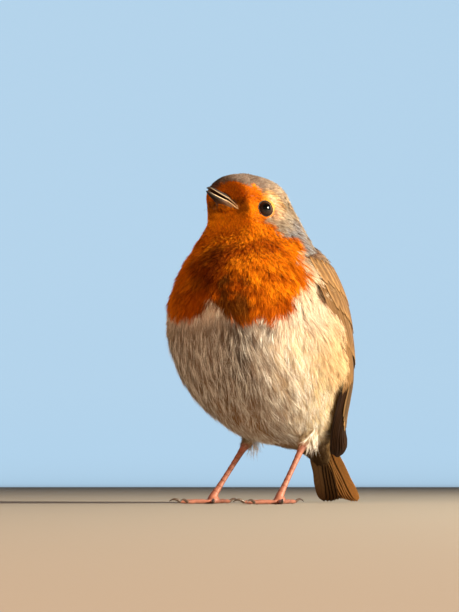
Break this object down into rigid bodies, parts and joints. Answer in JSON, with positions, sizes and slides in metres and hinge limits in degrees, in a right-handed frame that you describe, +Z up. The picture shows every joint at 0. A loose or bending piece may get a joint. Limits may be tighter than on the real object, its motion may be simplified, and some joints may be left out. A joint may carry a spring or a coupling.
{
  "type": "european robin",
  "caption": "Still, life-size robin with an orange face and breast, pale belly and brown wings, standing upright with its head turned a little and its tail tip on the floor.",
  "frame": {"origin": "middle of the bird's box, at floor level under it", "axes": "+Z up, the bird faces -Y, its left side is +X"},
  "size_m": [0.062, 0.0908, 0.1095],
  "materials": {
    "plumage_orange": "soft orange feathers",
    "plumage_pale": "soft off-white and buff feathers",
    "plumage_brown": "olive-brown vaned feathers",
    "plumage_dark": "dark brown flight feathers",
    "horn": "dark brown horn, slightly glossy",
    "leg_skin": "scaly brown-pink skin",
    "eye": "wet, very dark brown"
  },
  "bodies": {
    "root": {"belly": "plumage_pale", "bill_lower": "horn", "bill_upper": "horn", "breast": "plumage_orange", "claw_hind_left": "horn", "claw_hind_right": "horn", "claw_inner_left": "horn", "claw_inner_right": "horn", "claw_middle_left": "horn", "claw_middle_right": "horn", "claw_outer_left": "horn", "claw_outer_right": "horn", "eye_left": "eye", "eye_right": "eye", "foot_left": "leg_skin", "foot_right": "leg_skin", "head": "plumage_orange", "neck": "plumage_orange", "shank_left": "plumage_pale", "shank_right": "plumage_pale", "tail": "plumage_brown", "tarsus_left": "leg_skin", "tarsus_right": "leg_skin", "toe_hind_left": "leg_skin", "toe_hind_right": "leg_skin", "toe_inner_left": "leg_skin", "toe_inner_right": "leg_skin", "toe_middle_left": "leg_skin", "toe_middle_right": "leg_skin", "toe_outer_left": "leg_skin", "toe_outer_right": "leg_skin", "undertail": "plumage_pale", "vent": "plumage_pale", "wing_coverts_left": "plumage_brown", "wing_coverts_right": "plumage_brown", "wing_primaries_left": "plumage_dark", "wing_primaries_right": "plumage_dark", "wing_secondaries_left": "plumage_brown", "wing_secondaries_right": "plumage_brown"}
  },
  "joints": []
}
